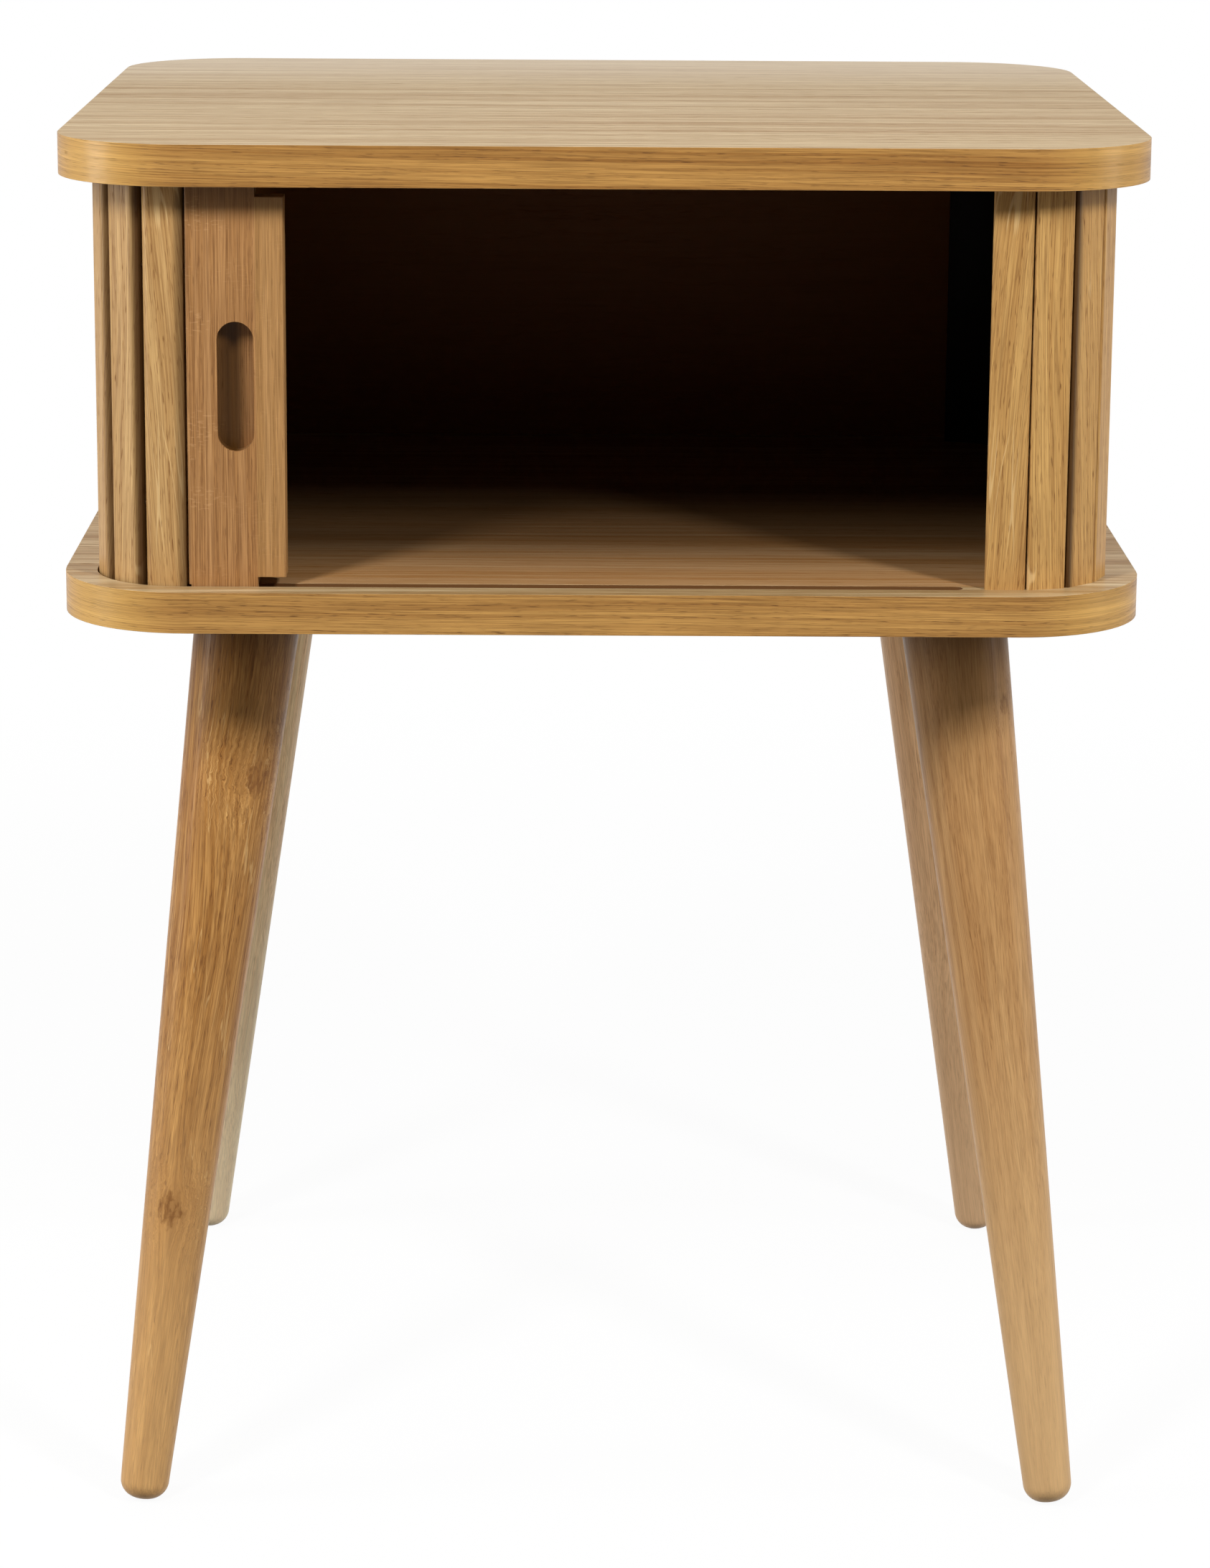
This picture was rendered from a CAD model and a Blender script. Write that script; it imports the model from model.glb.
"""Bedside table with a tambour door: oak looks, stage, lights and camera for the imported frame."""
import math
from collections import namedtuple

import bpy
from mathutils import Matrix, Vector


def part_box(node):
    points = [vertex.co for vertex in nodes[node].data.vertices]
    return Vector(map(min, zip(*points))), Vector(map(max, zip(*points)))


MM = 0.001
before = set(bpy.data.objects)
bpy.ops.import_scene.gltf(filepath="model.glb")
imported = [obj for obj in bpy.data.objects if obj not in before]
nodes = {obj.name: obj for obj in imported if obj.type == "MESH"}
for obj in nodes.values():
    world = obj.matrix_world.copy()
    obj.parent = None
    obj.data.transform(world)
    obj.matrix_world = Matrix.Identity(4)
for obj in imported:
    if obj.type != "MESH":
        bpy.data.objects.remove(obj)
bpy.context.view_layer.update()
scene = bpy.context.scene

# ---- sizes and places in millimetres, read from the frame where it has them ----
low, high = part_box("top_panel")
TABLE_W = (high.x - low.x) / MM
TABLE_D = (high.y - low.y) / MM
TOP_UNDER_Z = low.z / MM
UNDER_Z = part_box("bottom_panel")[0].z / MM
BACK_HALF_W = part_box("back_panel")[1].x / MM
low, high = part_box("handle_slat")
HANDLE_X0 = low.x / MM
HANDLE_FACE_Y = low.y / MM
CORNER_R = 54
# the middle of the right rear corner's arc
ARC_X = TABLE_W / 2 - CORNER_R
ARC_Y = TABLE_D / 2 - CORNER_R
# insets from the panels' edge
GROOVE_INSET = 10
SLAT_FACE_INSET = 14.0
BACK_INSET = 6
COMPARTMENT_INSET = 21
# slats: the door's turn on their cord at a corner, and the fixed row starts a lead before its corner
SLAT_PITCH = 17.8
SLAT_GAP = 0.5
SLAT_W = SLAT_PITCH - SLAT_GAP
CORD_BEHIND_FACE = 4.2
FIXED_LEAD = 13.9
# the middle of each row's first slat, counted along the slats' line from the start of the corner
DOOR_FIRST_STATION = SLAT_GAP + SLAT_W / 2 - (HANDLE_X0 + ARC_X)
FIXED_FIRST_STATION = SLAT_W / 2 - FIXED_LEAD
# where the handle's free edge begins, which is cut back above and below
HANDLE_STRIP_X = HANDLE_X0 + 28.4
# the finger pocket's middle, and how far to each side its looks reach, which is past its walls
POCKET_X = HANDLE_X0 + 20
POCKET_REACH = 9
# the compartment's stain: where it sets in behind the front and is full, and where it eases again
STAIN_FROM_Y, STAIN_FULL_Y = -172, -70
STAIN_EASING_Y, STAIN_EASED_Y = 0, 80
# the right rear leg's axis at the floor and under the bottom panel
LEG_FOOT = Vector((197.0, 173.5, 0))
LEG_TOP = Vector((150.0, 113.0, UNDER_Z))

# ---- camera ----
IMAGE_W, IMAGE_H = 1686, 2184
CAMERA_PLACE = Vector((-15.803, -1954.881, 776.078)) * MM
CAMERA_PITCH, CAMERA_YAW, CAMERA_ROLL = 12.544, 0.337, 0.346
FOCAL_PIXELS = 6112.465
PRINCIPAL_X, PRINCIPAL_Y = 820.81, 899.98

# ---- lights: name, place in metres, width and height in metres, watts ----
LIGHTS_AIM = Vector((0, 0, 0.4))
LIGHTS = (
    ("key_left", (-0.92, -1.42, 1.8), (0.3, 0.6), 27),
    ("key_right", (1.19, -1.52, 1.72), (0.25, 0.45), 32),
    ("softbox_top", (0.0, 0.0, 2.4), (1.2, 1.2), 9),
    ("softbox_left", (-1.8, -0.35, 0.7), (0.5, 1.0), 18),
    ("softbox_right", (1.8, -0.35, 0.7), (0.5, 1.0), 8),
)


# ---- colours ----
def srgb(red, green, blue):
    """A colour given as 0-255 display values, in linear light."""
    def linear(value):
        value /= 255
        return value / 12.92 if value <= 0.04045 else ((value + 0.055) / 1.055) ** 2.4
    return (linear(red), linear(green), linear(blue), 1.0)


Tones = namedtuple("Tones", "pale dark pore")
SLAT_PORE = srgb(110, 70, 34)
LEG_PORE = srgb(112, 70, 34)
FACE_TONES = Tones(srgb(229, 208, 166), srgb(176, 142, 95), srgb(126, 90, 48))
EDGE_TONES = Tones(srgb(212, 162, 90), srgb(152, 104, 50), srgb(84, 50, 18))
BACK_TONES = Tones(srgb(190, 150, 98), srgb(160, 118, 70), srgb(100, 66, 34))
DOOR_TONES = Tones(srgb(216, 178, 120), srgb(182, 141, 87), SLAT_PORE)
FIXED_TONES = Tones(srgb(221, 178, 110), srgb(189, 143, 82), SLAT_PORE)
HANDLE_TONES = Tones(srgb(200, 152, 100), srgb(173, 125, 75), srgb(112, 72, 38))
FRONT_LEFT_TONES = Tones(srgb(214, 163, 97), srgb(168, 117, 60), LEG_PORE)
FRONT_RIGHT_TONES = Tones(srgb(206, 162, 108), srgb(176, 130, 80), LEG_PORE)
REAR_LEFT_TONES = Tones(srgb(255, 230, 182), srgb(244, 202, 152), LEG_PORE)
REAR_RIGHT_TONES = Tones(srgb(236, 194, 148), srgb(206, 160, 114), LEG_PORE)
TOP_BLEACHED = srgb(250, 238, 218)
EDGE_WORN = srgb(250, 206, 114)
CORE_BROWN = srgb(110, 74, 42)
COMPARTMENT_WARM = srgb(176, 110, 46)
COMPARTMENT_STAIN = srgb(26, 12, 4)
BACK_STAIN = srgb(136, 80, 26)
SLAT_WARM = srgb(160, 110, 62)
SLAT_RAY = srgb(232, 198, 142)
SLAT_SHADE = srgb(62, 36, 11)
HANDLE_STRIP = srgb(186, 148, 88)
HANDLE_FLECK = srgb(222, 176, 124)
HANDLE_SHADE = srgb(60, 36, 16)
POCKET_BROWN = srgb(66, 38, 2)
LEG_RAY = srgb(224, 184, 124)
LEG_SHADE = srgb(56, 32, 8)
KNOT_BROWN = srgb(118, 74, 36)
CORD_BROWN = srgb(112, 80, 50)
LINER_BLACK = srgb(20, 17, 14)
STEEL_GREY = srgb(170, 170, 172)
BEECH_PALE = srgb(210, 176, 130)


# ---- a small builder for node trees ----
class Graph:
    """Builds the node tree of a material or a world. Inputs take numbers, colours or outputs."""

    def __init__(self, owner):
        owner.use_nodes = True
        self.owner = owner
        self.tree = owner.node_tree
        self.tree.nodes.clear()

    def node(self, kind, inputs=(), **settings):
        node = self.tree.nodes.new(kind)
        for key, value in settings.items():
            setattr(node, key, value)
        for key, value in dict(inputs).items():
            if isinstance(value, bpy.types.NodeSocket):
                self.tree.links.new(value, node.inputs[key])
            else:
                node.inputs[key].default_value = value
        return node

    def math(self, operation, *values):
        return self.node("ShaderNodeMath", enumerate(values), operation=operation).outputs[0]

    def add(self, a, b):
        return self.math("ADD", a, b)

    def sub(self, a, b):
        return self.math("SUBTRACT", a, b)

    def mul(self, a, b):
        return self.math("MULTIPLY", a, b)

    def mul_add(self, a, b, c):
        """a * b + c"""
        return self.math("MULTIPLY_ADD", a, b, c)

    def least(self, a, b):
        return self.math("MINIMUM", a, b)

    def most(self, a, b):
        return self.math("MAXIMUM", a, b)

    def unsigned(self, a):
        return self.math("ABSOLUTE", a)

    def length(self, a, b):
        return self.math("SQRT", self.mul_add(a, a, self.mul(b, b)))

    def blend(self, amount, a, b):
        """The number a, or b where amount is 1."""
        return self.mul_add(self.sub(b, a), amount, a)

    def mix(self, amount, a, b):
        """The colour a, or b where amount is 1."""
        return self.node("ShaderNodeMix", {0: amount, 6: a, 7: b}, data_type="RGBA").outputs[2]

    def remap(self, value, start, end, to_start=0.0, to_end=1.0):
        """A smooth step from to_start, where value is start, to to_end, where it is end."""
        inputs = {0: value, 1: start, 2: end, 3: to_start, 4: to_end}
        return self.node("ShaderNodeMapRange", inputs, interpolation_type="SMOOTHSTEP").outputs[0]

    def chance(self, value):
        """A number from 0 to 1 that depends on the value alone."""
        return self.node("ShaderNodeTexWhiteNoise", {"W": value}, noise_dimensions="1D").outputs["Value"]

    def noise(self, place, sizes, detail=2.0, roughness=0.5):
        """Soft noise at a place of three coordinates, stretched to a size along each."""
        scaled = [self.mul(coordinate, 1 / size) for coordinate, size in zip(place, sizes)]
        point = self.node("ShaderNodeCombineXYZ", enumerate(scaled)).outputs[0]
        inputs = {"Vector": point, "Scale": 1.0, "Detail": detail, "Roughness": roughness}
        return self.node("ShaderNodeTexNoise", inputs).outputs["Fac"]

    def split(self, vector):
        return self.node("ShaderNodeSeparateXYZ", {0: vector}).outputs[:]

    def coordinates(self, kind):
        return self.node("ShaderNodeTexCoord").outputs[kind]

    def position(self):
        """The point's x, y and z in the row frame, in millimetres."""
        inputs = {0: self.coordinates("Object"), "Scale": 1 / MM}
        return self.split(self.node("ShaderNodeVectorMath", inputs, operation="SCALE").outputs[0])

    def normal(self):
        """The surface's direction as x, y and z in the row frame."""
        return self.split(self.coordinates("Normal"))

    def finish(self, wood, bump, coat=0.0, coat_roughness=0.3, gloss=0.3):
        """Makes the surface. bump is the height's reach in millimetres, gloss the specular level."""
        inputs = {"Height": wood.height, "Strength": 1.0, "Distance": bump * MM}
        normal = self.node("ShaderNodeBump", inputs).outputs[0]
        inputs = {"Base Color": wood.colour, "Roughness": wood.roughness, "Normal": normal,
                  "Specular IOR Level": gloss, "Coat Weight": coat, "Coat Roughness": coat_roughness}
        shader = self.node("ShaderNodeBsdfPrincipled", inputs)
        self.node("ShaderNodeOutputMaterial", {0: shader.outputs[0]})
        return self.owner


def new_graph(name):
    return Graph(bpy.data.materials.new(name))


# ---- places round the table ----
Around = namedtuple("Around", "signed_run run inset turn")


def mm_per_degree(radius):
    """The run of one degree on a corner where a slat's pitch is a chord on each side of it."""
    return SLAT_PITCH / (2 * math.degrees(math.atan(SLAT_PITCH / 2 / radius)))


def outline(g, x, y, degree_run):
    """Where a point is round the table. run is its distance along the outline from the middle of the
    front, counted on past the sides' middle, and signed_run is below 0 on the left. inset is its
    distance in from the panels' edge. turn is its angle round a corner, 0 along the front and back
    and 90 along the sides, and degree_run is the run of one degree of it."""
    unsigned_x = g.unsigned(x)
    unsigned_y = g.unsigned(y)
    straight_x = g.least(unsigned_x, ARC_X)
    straight_y = g.least(unsigned_y, ARC_Y)
    arc_x = g.sub(unsigned_x, straight_x)
    arc_y = g.sub(unsigned_y, straight_y)
    turn = g.math("DEGREES", g.math("ARCTAN2", arc_x, arc_y))
    front_run = g.mul_add(turn, degree_run, g.add(straight_x, g.sub(ARC_Y, straight_y)))
    half_side = ARC_X + 90 * degree_run + ARC_Y
    is_behind = g.math("GREATER_THAN", y, 0)
    run = g.mul_add(is_behind, g.mul_add(front_run, -2, 2 * half_side), front_run)
    signed_run = g.mul(run, g.math("SIGN", x))
    inset = g.sub(CORNER_R, g.length(arc_x, arc_y))
    return Around(signed_run, run, inset, turn)


# ---- oak ----
Wood = namedtuple("Wood", "colour roughness height")
# how far one seed moves the wood along and across its grain, in millimetres
SEED_ALONG, SEED_ACROSS = 431.0, 97.0
# how far the grain bends out of line, slowly and quickly, in millimetres
SLOW_BEND, QUICK_BEND = 22, 2.5
# how strongly fibres and pores take the pores' colour
FIBRE_TINT, PORE_TINT = 0.42, 0.75


def oak(g, across, depth, along, tones, seed=0.0, ring=5.0, bands=1.0, lines=1.0, pores=1.0,
        pore_size=1.0, wave=1.0, tilt=0.0, rays=0.0, ray_size=1.0, ray_colour=None, roughness=0.38):
    """Oak whose grain runs along one of three coordinates, in millimetres. ring is the width of a
    growth ring. bands, lines, pores and rays are strengths, wave bends the grain and tilt leans it."""
    along = g.mul_add(seed, SEED_ALONG, along)
    across = g.mul_add(seed, SEED_ACROSS, g.mul_add(along, tilt, across))

    def grain(line, width, length, *detail):
        """Noise stretched along the grain."""
        return g.noise((line, depth, along), (width, width, length), *detail)

    slow = g.add(grain(across, 40, 240, 1.0), -0.5)
    quick = g.add(grain(across, 8, 60, 1.0), -0.5)
    bent = g.mul_add(slow, SLOW_BEND * wave, g.mul_add(quick, QUICK_BEND * wave, across))
    # growth rings: broad soft bands and the lines inside them
    broad = grain(bent, 2.5 * ring, 700, 2.0, 0.6)
    rings = grain(bent, ring / 1.7, 420, 3.0, 0.65)
    # fibres, and open pores as short dark dashes, thickest in the early part of each ring
    fibre = grain(bent, 0.5, 38, 2.0, 0.65)
    dash = grain(bent, 0.42 * pore_size, 7.5 * pore_size, 1.0)
    early = g.remap(rings, 0.4, 0.62)
    dashes = g.mul(g.remap(dash, 0.57, 0.7), g.mul_add(early, 0.8, 0.2))
    ring_tone = g.mul(g.remap(rings, 0.3, 0.72), 0.5 * lines)
    tone = g.mul_add(g.remap(broad, 0.3, 0.7), 0.5 * bands, ring_tone)
    colour = g.mix(tone, tones.pale, tones.dark)
    colour = g.mix(g.mul(g.remap(fibre, 0.3, 0.75), FIBRE_TINT * lines), colour, tones.pore)
    colour = g.mix(g.mul(dashes, PORE_TINT * pores), colour, tones.pore)
    if rays:
        # medullary rays: thin pale wavy lines where a stretched noise crosses one value, in patches
        wavy = grain(across, 7 * ray_size, 110 * ray_size, 1.0)
        patches = g.noise((across, 3.3, along), (22 * ray_size, 1, 60 * ray_size), 0.0)
        line = g.remap(g.unsigned(g.add(wavy, -0.5)), 0.016, 0.004)
        ray = g.mul(line, g.remap(patches, 0.54, 0.64))
        colour = g.mix(g.mul(ray, rays), colour, ray_colour)
    # the pores are rougher and deeper than the fibres
    uneven_roughness = g.mul_add(dashes, 0.2, g.mul_add(fibre, 0.12, roughness - 0.06))
    height = g.sub(g.mul(fibre, 0.4), dashes)
    return Wood(colour, uneven_roughness, height)


def panel_material(name):
    """Veneered board: grain along X on its faces and along the edge on its edges, a brown core in its
    groove, and a stain where it faces the compartment."""
    g = new_graph(name)
    x, y, z = g.position()
    around = outline(g, x, y, math.radians(CORNER_R))
    face = oak(g, y, g.mul(z, 0.1), x, FACE_TONES, seed=0.3, pores=0.9, pore_size=1.8, wave=0.45,
               bands=0.9, lines=1.55, roughness=0.36)
    edge = oak(g, z, 0.0, around.signed_run, EDGE_TONES, seed=0.7, wave=0.25, tilt=0.012, ring=3.6,
               lines=1.3, roughness=0.36)
    flat = g.remap(g.unsigned(g.normal()[2]), 0.6, 0.8)
    # the top is a little paler toward the back
    on_top = g.remap(z, TOP_UNDER_Z, TOP_UNDER_Z + 10)
    face_colour = g.mix(g.mul(g.remap(y, 40, 190, 0.0, 0.3), on_top), face.colour, TOP_BLEACHED)
    # the edge's veneer is worn paler round the corners
    off_corner = g.unsigned(g.add(around.turn, -45))
    worn = g.mul(g.remap(off_corner, 45, 5), g.remap(x, -50, 50, 0.24, 0.2))
    edge_colour = g.mix(worn, edge.colour, EDGE_WORN)
    colour = g.mix(flat, edge_colour, face_colour)
    # the groove's walls show the board's core
    in_groove = g.mul(g.remap(around.inset, GROOVE_INSET - 1, GROOVE_INSET), g.sub(1.0, flat))
    colour = g.mix(in_groove, colour, CORE_BROWN)
    # between the panels: behind the slats' faces, and at the back as far as the back panel
    within = g.mul(g.remap(z, TOP_UNDER_Z + 8, TOP_UNDER_Z + 4), g.remap(z, UNDER_Z + 2, UNDER_Z + 6))
    at_back = g.mul(g.remap(y, 140, 150), g.remap(g.unsigned(x), BACK_HALF_W, BACK_HALF_W - 1))
    behind_slats = g.remap(around.inset, SLAT_FACE_INSET, SLAT_FACE_INSET + 1)
    before_back = g.mul(at_back, g.remap(around.inset, BACK_INSET - 1.5, BACK_INSET))
    enclosed = g.most(behind_slats, before_back)
    # the compartment's faces are warmer, and stained darkest in the middle of its depth
    inside = g.remap(around.inset, COMPARTMENT_INSET - 0.5, COMPARTMENT_INSET, 0.0, 0.5)
    colour = g.mix(g.mul(g.mul(within, flat), inside), colour, COMPARTMENT_WARM)
    stain = g.remap(y, STAIN_FROM_Y, STAIN_FULL_Y, 0.0, 0.76)
    stain = g.sub(stain, g.remap(y, STAIN_EASING_Y, STAIN_EASED_Y, 0.0, 0.5))
    deep = g.mul(g.mul(stain, within), enclosed)
    colour = g.mix(g.mul(deep, flat), colour, COMPARTMENT_STAIN)
    roughness = g.blend(flat, edge.roughness, face.roughness)
    height = g.blend(flat, edge.height, face.height)
    wood = Wood(colour, roughness, height)
    return g.finish(wood, bump=0.04, coat=0.05, coat_roughness=0.28, gloss=0.2)


def back_material(name):
    """Board with its grain along X, stained on its face toward the compartment."""
    g = new_graph(name)
    x, y, z = g.position()
    wood = oak(g, z, y, x, BACK_TONES, seed=0.9, pores=0.5, wave=0.8, ring=8)
    inner = g.remap(g.normal()[1], -0.3, -0.8)
    colour = g.mix(g.mul(inner, 0.9), wood.colour, BACK_STAIN)
    return g.finish(wood._replace(colour=colour), bump=0.04, gloss=0.1)


def under_top(g, z):
    """How much shade gathers right under the top panel."""
    return g.remap(z, TOP_UNDER_Z - 16, TOP_UNDER_Z, 0.0, 0.36)


def slat_material(name, turn_radius, first_station, tones, shade_on, shade_off):
    """A row of upright slats, each of its own wood, with a shade beside the slat before it. shade_on
    and shade_off are the turns of the corner, in degrees, over which that shade comes and goes, and
    its strength at each of them."""
    g = new_graph(name)
    x, y, z = g.position()
    around = outline(g, x, y, mm_per_degree(turn_radius))
    first_edge = ARC_X + first_station - SLAT_PITCH / 2
    station = g.math("DIVIDE", g.add(around.run, -first_edge), SLAT_PITCH)
    index = g.math("FLOOR", station)
    across = g.mul(g.sub(station, index), SLAT_PITCH)
    slope = g.mul(g.add(g.chance(g.add(index, 3.5)), -0.5), 0.16)
    wood = oak(g, g.mul_add(z, slope, across), 0.0, z, tones, seed=g.mul(g.chance(index), 40), ring=3.4,
               wave=0.5, pores=1.3, lines=1.5, rays=0.5, ray_colour=SLAT_RAY, roughness=0.4)
    warmth = g.mul(g.chance(g.add(index, 7.5)), 0.14)
    colour = g.mix(warmth, wood.colour, SLAT_WARM)
    on_corner = g.mul(g.remap(around.turn, *shade_on), g.remap(around.turn, *shade_off))
    flank = g.mul(g.remap(across, 5.2, 1.2, 0.0, 0.93), on_corner)
    colour = g.mix(g.most(flank, under_top(g, z)), colour, SLAT_SHADE)
    return g.finish(wood._replace(colour=colour), bump=0.05, gloss=0.12)


def handle_material(name):
    """The handle slat, with a paler free edge, ray flecks and a dark finger pocket."""
    g = new_graph(name)
    x, y, z = g.position()
    wood = oak(g, x, y, z, HANDLE_TONES, seed=0.11, pores=0.9, lines=2.0, wave=0.15, ring=3.0,
               roughness=0.42)
    strip = g.remap(x, HANDLE_STRIP_X - 0.2, HANDLE_STRIP_X + 0.2)
    colour = g.mix(g.mul(strip, 0.2), wood.colour, HANDLE_STRIP)
    # ray flecks: short pale strokes across the grain, in patches, strongest on the left
    stroke = g.noise((x, 0.0, z), (3.2, 1, 0.8), 1.0)
    patches = g.noise((x, 5.0, z), (22, 1, 16), 1.0)
    fleck = g.mul(g.remap(stroke, 0.55, 0.66), g.remap(patches, 0.52, 0.62))
    fleck = g.mul(fleck, g.remap(x, HANDLE_X0 + 22, HANDLE_X0 + 6, 0.06, 0.2))
    colour = g.mix(fleck, colour, HANDLE_FLECK)
    # the pocket's inside, darkest in its middle and pale on its right wall
    inside = g.remap(y, HANDLE_FACE_Y + 0.8, HANDLE_FACE_Y + 3)
    near = g.remap(g.unsigned(g.add(x, -POCKET_X)), POCKET_REACH, POCKET_REACH - 0.4)
    left_depth = g.remap(x, POCKET_X - 7, POCKET_X - 2, 0.7, 0.95)
    right_depth = g.remap(x, POCKET_X - 1, POCKET_X + 5, 0.95, 0.0)
    pocket = g.mul(g.mul(inside, near), g.least(left_depth, right_depth))
    colour = g.mix(pocket, colour, POCKET_BROWN)
    colour = g.mix(g.mul(under_top(g, z), 1.8), colour, HANDLE_SHADE)
    return g.finish(wood._replace(colour=colour), bump=0.04, gloss=0.2)


def leg_material(name, side_x, side_y, tones, foot_colour, knots=(), **look):
    """A turned leg with its grain along its axis. A knot is its height above the foot, its angle to
    the right of the front in degrees, its radius and its strength."""
    g = new_graph(name)
    x, y, z = g.position()
    mirror = Vector((side_x, side_y, 1))
    foot = LEG_FOOT * mirror
    axis = (LEG_TOP * mirror - foot).normalized()
    right = (Vector((1, 0, 0)) - axis * axis.x).normalized()
    back = axis.cross(right)
    point = g.node("ShaderNodeCombineXYZ", {0: g.add(x, -foot.x), 1: g.add(y, -foot.y), 2: z}).outputs[0]

    def reach(direction):
        """How far the point is from the foot in a direction."""
        inputs = {0: point, 1: tuple(direction)}
        return g.node("ShaderNodeVectorMath", inputs, operation="DOT_PRODUCT").outputs["Value"]

    rightward = reach(right)
    backward = reach(back)
    along = reach(axis)
    across = rightward
    spots = []
    for height, angle, radius, strength in knots:
        cos = math.cos(math.radians(angle))
        sin = math.sin(math.radians(angle))
        # beside the knot, up from it, and only on the side of the leg that it is on
        beside = g.mul_add(rightward, cos, g.mul(backward, sin))
        up = g.mul(g.add(along, -height), 0.7 / radius)
        on_side = g.remap(g.mul_add(rightward, sin, g.mul(backward, -cos)), 2, 5)
        # its height serves as the third coordinate, so that each knot has another noise
        uneven = g.noise((beside, height, along), (2, 1, 1 / 0.3))
        off = g.mul_add(g.add(uneven, -0.5), 1.3, g.length(g.mul(beside, 1 / radius), up))
        # the grain parts round the knot, and the knot has rings of its own
        near = g.mul(g.math("EXPONENT", g.mul(g.mul(off, off), -0.3)), on_side)
        across = g.sub(across, g.mul(beside, g.mul(near, 0.85)))
        rings = g.noise((off, beside, along), (1 / 2.2, 1 / 0.35, 1 / 0.12), 3.0)
        core = g.mul(g.mul(g.remap(off, 1.05, 0.55), on_side), g.remap(rings, 0.35, 0.6, 0.35, 0.95))
        spots.append((g.mul(core, strength), g.mul(near, 0.3 * strength)))
    wood = oak(g, across, backward, along, tones, **look)
    # paler toward the foot, and in shade right under the table
    colour = g.mix(g.remap(along, 260, 10, 0.0, 0.45), wood.colour, foot_colour)
    colour = g.mix(g.remap(z, UNDER_Z - 42, UNDER_Z, 0.0, 0.9), colour, LEG_SHADE)
    for core, shade in spots:
        colour = g.mix(shade, colour, tones.dark)
        colour = g.mix(core, colour, KNOT_BROWN)
    return g.finish(wood._replace(colour=colour), bump=0.05, gloss=0.15)


def plain_material(name, colour, roughness):
    """One colour with faint specks."""
    g = new_graph(name)
    speck = g.noise(g.position(), (1 / 0.6,) * 3, 3.0)
    darker = tuple(0.6 * channel for channel in colour[:3]) + (1.0,)
    speckled = g.mix(g.mul(speck, 0.25), colour, darker)
    return g.finish(Wood(speckled, g.mul_add(speck, 0.15, roughness), speck), bump=0.02)


def dress(material, *names):
    for name in names:
        mesh = nodes[name].data
        mesh.materials.clear()
        mesh.materials.append(material)


def dress_rows():
    """Slats, cords and liners, which are nodes named by their row."""
    face_radius = CORNER_R - SLAT_FACE_INSET
    cord_radius = face_radius - CORD_BEHIND_FACE
    door = slat_material("oak_door_slat", cord_radius, DOOR_FIRST_STATION, DOOR_TONES,
                         (2, 6, 0.7, 1.0), (72, 50, 0.15, 1.0))
    fixed = slat_material("oak_fixed_slat", face_radius, FIXED_FIRST_STATION, FIXED_TONES,
                          (15, 25, 0.0, 1.0), (50, 45, 0.0, 1.0))
    cord = plain_material("cord_brown", CORD_BROWN, roughness=0.8)
    liner = plain_material("liner_black", LINER_BLACK, roughness=0.7)
    for name in nodes:
        if name.startswith("door_slat_"):
            dress(door, name)
        elif name.startswith("fixed_slats"):
            dress(fixed, name)
        elif "cords" in name:
            dress(cord, name)
        elif name.startswith("liner"):
            dress(liner, name)


def dress_legs():
    dress(leg_material("oak_leg_front_left", -1, -1, FRONT_LEFT_TONES, srgb(236, 190, 130),
                       knots=((319, 42, 6.5, 0.8), (130, -8, 6.0, 0.8)), seed=0.21, rays=0.4,
                       ray_size=0.55, ray_colour=LEG_RAY, ring=3.2, lines=1.7, pores=1.4),
          "leg_front_left")
    dress(leg_material("oak_leg_front_right", 1, -1, FRONT_RIGHT_TONES, srgb(242, 204, 150),
                       knots=((349, 52, 3.4, 0.6),), seed=0.55, pores=0.6, lines=1.1, ring=6.0, wave=0.6),
          "leg_front_right")
    dress(leg_material("oak_leg_rear_left", -1, 1, REAR_LEFT_TONES, srgb(255, 240, 206),
                       seed=0.83, pores=0.6),
          "leg_rear_left")
    dress(leg_material("oak_leg_rear_right", 1, 1, REAR_RIGHT_TONES, srgb(238, 200, 156),
                       seed=0.37, pores=0.6),
          "leg_rear_right")


def add_materials():
    dress(panel_material("oak_panel"), "top_panel", "bottom_panel")
    dress(back_material("oak_back"), "back_panel")
    dress_rows()
    dress(plain_material("steel", STEEL_GREY, roughness=0.35), "leg_inserts", "hanger_bolts")
    dress(plain_material("beech", BEECH_PALE, roughness=0.6), "back_dowels")
    dress(handle_material("oak_handle"), "handle_slat")
    dress_legs()


# ---- eased edges ----
def ease(name, width):
    """Rounds a CAD piece's sharp edges over by modifiers, which leave its mesh as it is."""
    piece = nodes[name]
    weld = piece.modifiers.new("weld", "WELD")
    weld.merge_threshold = 1e-6
    dissolve = piece.modifiers.new("dissolve", "DECIMATE")
    dissolve.decimate_type = "DISSOLVE"
    dissolve.angle_limit = math.radians(0.5)
    bevel = piece.modifiers.new("bevel", "BEVEL")
    bevel.width = width * MM
    bevel.segments = 3
    bevel.limit_method = "ANGLE"
    bevel.angle_limit = math.radians(40)
    weighted = piece.modifiers.new("weighted", "WEIGHTED_NORMAL")
    weighted.keep_sharp = False


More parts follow.
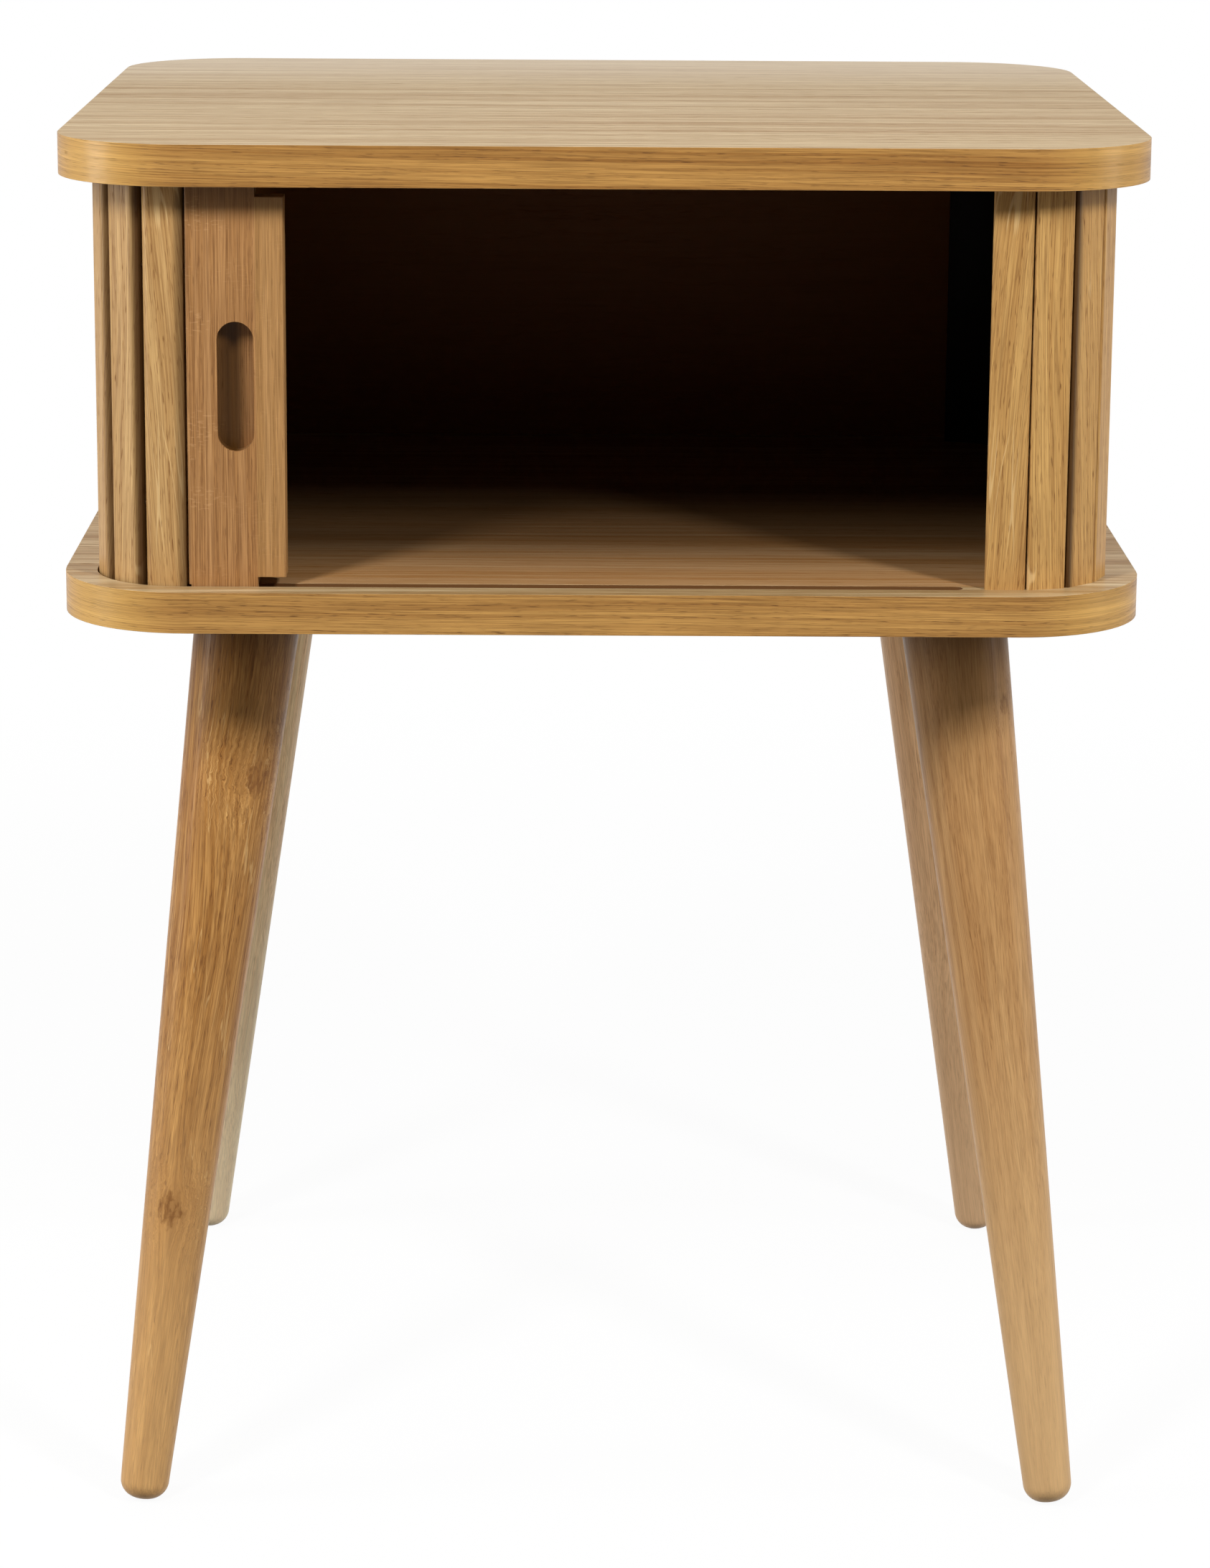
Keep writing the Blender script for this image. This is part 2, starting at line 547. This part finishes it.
# ---- camera, stage and light ----
def add_camera():
    data = bpy.data.cameras.new("camera")
    camera = bpy.data.objects.new("camera", data)
    scene.collection.objects.link(camera)
    data.sensor_fit = "VERTICAL"
    data.sensor_height = 36
    data.lens = data.sensor_height * FOCAL_PIXELS / IMAGE_H
    data.shift_x = (IMAGE_W / 2 - PRINCIPAL_X) / IMAGE_H
    data.shift_y = (PRINCIPAL_Y - IMAGE_H / 2) / IMAGE_H
    data.clip_start = 0.1
    data.clip_end = 100
    turn = (
        Matrix.Rotation(math.radians(-CAMERA_YAW), 4, "Z")
        @ Matrix.Rotation(math.radians(90 - CAMERA_PITCH), 4, "X")
        @ Matrix.Rotation(math.radians(CAMERA_ROLL), 4, "Z")
    )
    camera.matrix_world = Matrix.Translation(CAMERA_PLACE) @ turn
    scene.camera = camera


def add_stage():
    """A floor that is white to the camera and keeps a trace of the shadow near the table."""
    mesh = bpy.data.meshes.new("floor")
    half = 8.0
    mesh.from_pydata([(-half, -half, 0), (half, -half, 0), (half, half, 0), (-half, half, 0)], [],
                     [(0, 1, 2, 3)])
    floor = bpy.data.objects.new("floor", mesh)
    scene.collection.objects.link(floor)
    g = new_graph("floor_white")
    path = g.node("ShaderNodeLightPath").outputs
    seen = g.most(path["Is Camera Ray"], g.most(path["Is Glossy Ray"], path["Is Transmission Ray"]))
    x, y, _ = g.position()
    white_share = g.remap(g.length(x, y), 500, 1500, 0.94, 1.0)
    # pale to the camera, and dull to the table, which it lights from below
    tone = g.mix(seen, (0.25, 0.25, 0.25, 1), (0.8, 0.8, 0.8, 1))
    diffuse = g.node("ShaderNodeBsdfDiffuse", {"Color": tone}).outputs[0]
    glow = g.node("ShaderNodeEmission", {"Color": (1, 1, 1, 1), "Strength": 1.0}).outputs[0]
    surface = g.node("ShaderNodeMixShader", {0: g.mul(seen, white_share), 1: diffuse, 2: glow}).outputs[0]
    g.node("ShaderNodeOutputMaterial", {0: surface})
    mesh.materials.append(g.owner)


def add_world():
    """White to the camera. To the table: a pale backdrop behind it and a dim room in front."""
    scene.world = bpy.data.worlds.new("studio")
    g = Graph(scene.world)
    path = g.node("ShaderNodeLightPath").outputs
    seen = g.most(path["Is Camera Ray"], path["Is Transmission Ray"])
    toward_back = g.split(g.coordinates("Generated"))[1]
    room = g.remap(toward_back, 0.05, 0.7, 0.02, 1.1)
    # reflections show it dimmed
    room = g.mul(room, g.mul_add(path["Is Glossy Ray"], -0.6, 1.0))
    inputs = {"Color": (1, 1, 1, 1), "Strength": g.blend(seen, room, 1.0)}
    back = g.node("ShaderNodeBackground", inputs)
    g.node("ShaderNodeOutputWorld", {0: back.outputs[0]})


def add_lights():
    for name, place, size, watts in LIGHTS:
        data = bpy.data.lights.new(name, "AREA")
        data.shape = "RECTANGLE"
        data.size, data.size_y = size
        data.energy = watts
        light = bpy.data.objects.new(name, data)
        scene.collection.objects.link(light)
        light.location = place
        light.rotation_euler = (LIGHTS_AIM - Vector(place)).to_track_quat("-Z", "Y").to_euler()


scene.view_settings.view_transform = "Standard"
add_camera()
add_materials()
for piece_name, edge_width in (("top_panel", 0.7), ("bottom_panel", 0.7), ("handle_slat", 0.4)):
    ease(piece_name, edge_width)
add_stage()
add_world()
add_lights()
